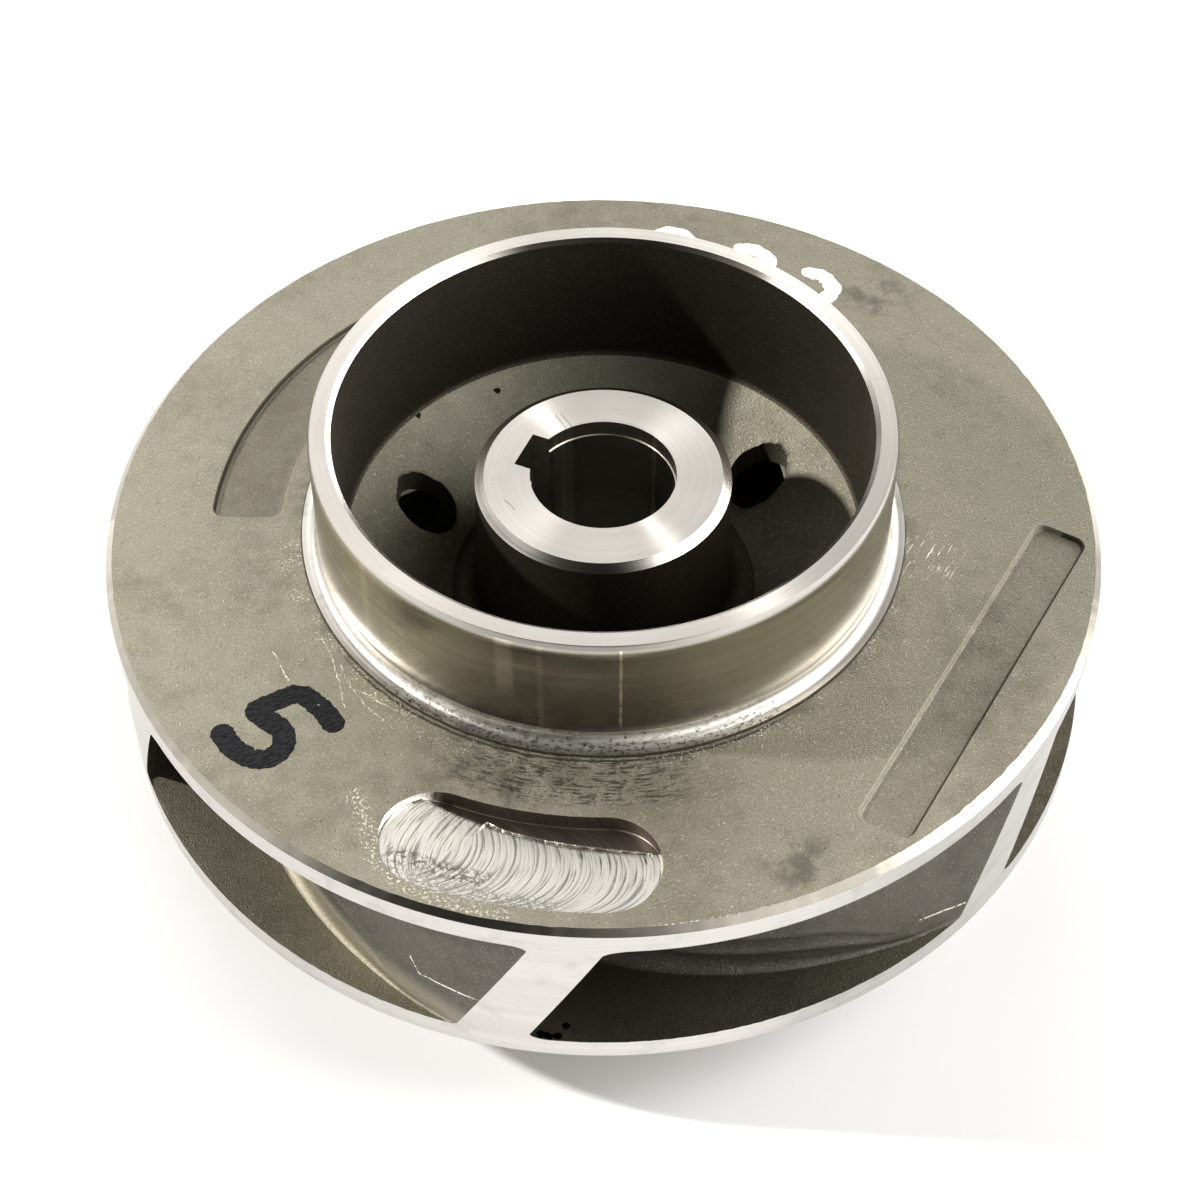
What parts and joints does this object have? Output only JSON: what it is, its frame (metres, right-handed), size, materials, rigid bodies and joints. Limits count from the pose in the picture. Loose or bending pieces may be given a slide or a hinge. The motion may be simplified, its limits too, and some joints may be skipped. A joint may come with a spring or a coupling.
{
  "type": "closed pump impeller",
  "caption": "Closed centrifugal pump impeller with back and front shrouds, wear rings, backward curved vanes and a keyed hub.",
  "frame": {"origin": "centre of the front wear ring's face, on which the impeller stands", "axes": "+Z along the shaft towards the back side (the hub face with the keyway's open end); the milled balance pocket lies on the -Y side"},
  "size_m": [0.222, 0.222, 0.1007],
  "materials": {
    "cast_steel": "shot blasted as-cast stainless steel, matt warm grey",
    "machined_steel": "turned stainless steel, fine concentric lines"
  },
  "bodies": {
    "root": {"back_shroud": "cast_steel", "front_shroud": "cast_steel", "vane_1": "cast_steel", "vane_2": "cast_steel", "vane_3": "cast_steel", "vane_4": "cast_steel", "vane_5": "cast_steel", "vane_6": "cast_steel", "hub": "machined_steel", "back_wear_ring": "machined_steel", "front_wear_ring": "machined_steel"}
  },
  "joints": []
}
